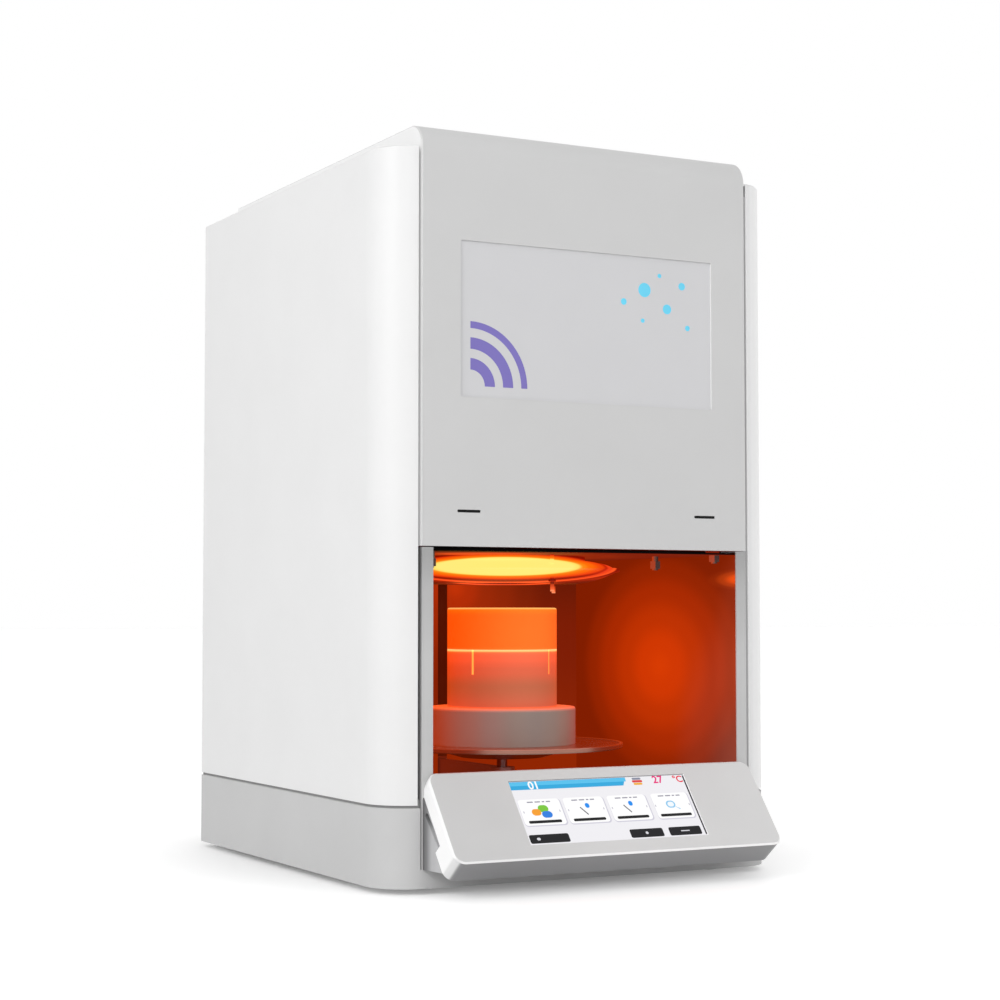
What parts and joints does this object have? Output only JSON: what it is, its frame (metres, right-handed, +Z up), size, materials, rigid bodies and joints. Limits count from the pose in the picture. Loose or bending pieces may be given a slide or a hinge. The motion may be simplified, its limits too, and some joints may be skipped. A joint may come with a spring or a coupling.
{
  "type": "bottom-loading dental sintering furnace",
  "caption": "Tall laboratory furnace with a glowing loading bay, a lift table carrying block, crucible and lid, and a tilted touch console.",
  "frame": {"origin": "on the floor, under the middle of the furnace's outer box", "axes": "+X to the right seen from the front, +Y to the back, +Z up"},
  "size_m": [0.4, 0.511, 0.657],
  "materials": {
    "panel_paint": "satin light grey powder coat, lightly textured",
    "side_paint": "satin pale grey powder coat",
    "tub_plastic": "fine-grained light grey moulding",
    "portal_paint": "satin grey powder coat",
    "plate_lacquer": "satin lacquer with soft violet and cyan bands",
    "black_lens": "smooth black",
    "foot_rubber": "matt black",
    "galvanised": "zinc-plated sheet",
    "hot_enamel": "heat-resistant enamel lit red by the muffle",
    "hot_refractory": "glowing alumina tube",
    "hot_ring": "heat-resistant steel in the muffle's glow",
    "hot_steel": "scaled heat-resistant steel",
    "fibre": "soft matt ceramic fibre board",
    "element_ceramic": "matt dark molybdenum silicide",
    "steatite": "matt steatite",
    "strap_aluminium": "braided and pressed",
    "table_steel": "brushed stainless steel reflecting the glow",
    "arm_aluminium": "anodised",
    "bearing_bronze": "machined bronze",
    "ground_steel": "ground and hardened",
    "block_fibre": "rough fired fibre board",
    "crucible_ceramic": "matt mullite, warm in the glow",
    "lid_ceramic": "matt mullite, orange in the glow",
    "motor_black": "satin black",
    "console_plastic": "satin pale grey moulding",
    "cheek_plastic": "satin grey moulding",
    "screen_glass": "clear touch glass over the lit display",
    "display_face": null,
    "fitting_black": "fine black grain",
    "board_green": "solder mask"
  },
  "bodies": {
    "cabinet": {"base_tub": "tub_plastic", "rubber_feet": "foot_rubber", "left_side_panel": "side_paint", "right_side_panel": "side_paint", "front_top_cover": "panel_paint", "name_plate": "plate_lacquer", "slot_inserts": "black_lens", "front_portal": "portal_paint", "left_chassis": "galvanised", "right_chassis": "galvanised", "bulkhead": "galvanised", "rear_panel": "side_paint", "bay_floor": "hot_enamel", "bay_left_wall": "hot_enamel", "bay_right_wall": "hot_enamel", "bay_rear_wall": "hot_enamel", "bay_ceiling": "hot_enamel", "mouth_collar": "hot_refractory", "mouth_ring": "hot_ring", "ring_hangers": "hot_steel", "ceiling_studs": "hot_steel", "muffle_casing": "galvanised", "insulation_floor": "fibre", "insulation_wall": "fibre", "insulation_roof": "fibre", "heating_elements": "element_ceramic", "element_holders": "steatite", "element_straps": "strap_aluminium", "thermocouple": "steatite", "lower_bearing_plate": "galvanised", "upper_bearing_plate": "galvanised", "guide_rods": "ground_steel", "lift_motor": "motor_black", "motor_bracket": "galvanised", "console_bezel": "console_plastic", "console_housing": "cheek_plastic", "touch_glass": "screen_glass", "display_module": "display_face", "fan_frame": "fitting_black", "power_inlet": "fitting_black", "switch_frame": "fitting_black", "fuse_holders": "fitting_black", "power_transformer": "motor_black", "power_controller": "arm_aluminium", "control_board": "board_green"},
    "lift": {"lift_table": "table_steel", "table_dish": "table_steel", "lift_shaft": "table_steel", "lift_arm": "arm_aluminium", "lift_carriage": "arm_aluminium", "carriage_bushes": "bearing_bronze", "lift_nut": "bearing_bronze", "insulation_block": "block_fibre"},
    "crucible": {"crucible": "crucible_ceramic"},
    "lid": {"crucible_lid": "lid_ceramic"},
    "screw": {"lead_screw": "ground_steel", "shaft_coupling": "ground_steel", "motor_shaft": "ground_steel"},
    "fan": {"fan_rotor": "fitting_black"},
    "rocker": {"switch_rocker": "fitting_black"}
  },
  "joints": [
    {"name": "table_lift", "type": "slide", "parent": "cabinet", "child": "lift", "axis": [0, 0, 1], "range_m": [0, 0.149]},
    {"name": "crucible_lift_off", "type": "slide", "parent": "lift", "child": "crucible", "axis": [0, 0, 1], "range_m": [0, 0.045]},
    {"name": "lid_lift_off", "type": "slide", "parent": "crucible", "child": "lid", "axis": [0, 0, 1], "range_m": [0, 0.045]},
    {"name": "screw_turn", "type": "hinge", "parent": "cabinet", "child": "screw", "pos_m": [0, 0.1485, 0.15], "axis": [0, 0, 1], "continuous": true},
    {"name": "fan_turn", "type": "hinge", "parent": "cabinet", "child": "fan", "pos_m": [0, 0.2335, 0.545], "axis": [0, 1, 0], "continuous": true},
    {"name": "switch_rock", "type": "hinge", "parent": "cabinet", "child": "rocker", "pos_m": [-0.062, 0.2455, 0.118], "axis": [1, 0, 0], "range_deg": [-20, 0]}
  ],
  "couplings": [
    {"joint": "screw_turn", "follows": "table_lift", "rad_per_m": -785.4}
  ]
}
